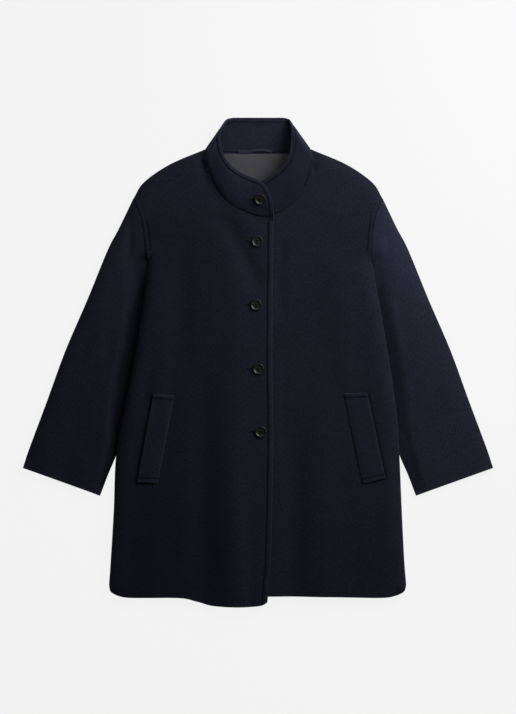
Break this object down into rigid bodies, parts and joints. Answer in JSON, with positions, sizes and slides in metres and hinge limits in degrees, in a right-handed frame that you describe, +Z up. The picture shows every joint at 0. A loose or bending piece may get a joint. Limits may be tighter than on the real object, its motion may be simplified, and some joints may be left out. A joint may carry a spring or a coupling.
{
  "type": "wool coat",
  "caption": "A-line wool coat with a standing funnel collar, set-in sleeves, buttoned front and slanted welt pockets, laid out flat on its back.",
  "frame": {"origin": "on the surface the coat lies on, under the middle of its bounding box", "axes": "+Z up from the surface, +Y from the hem towards the collar, +X towards the wearer's left"},
  "size_m": [0.95, 0.989, 0.048],
  "materials": {
    "wool": "matt brushed navy melton wool",
    "lining": "grey satin lining",
    "button": "polished black-brown"
  },
  "bodies": {
    "root": {"back": "wool", "front_right": "wool", "front_left": "wool", "sleeve_right": "wool", "sleeve_left": "wool", "collar": "wool", "lining_back_neck": "lining", "hanger_loop": "wool", "welt_right": "wool", "welt_left": "wool", "button_1": "button", "button_2": "button", "button_3": "button", "button_4": "button", "button_5": "button"}
  },
  "joints": []
}
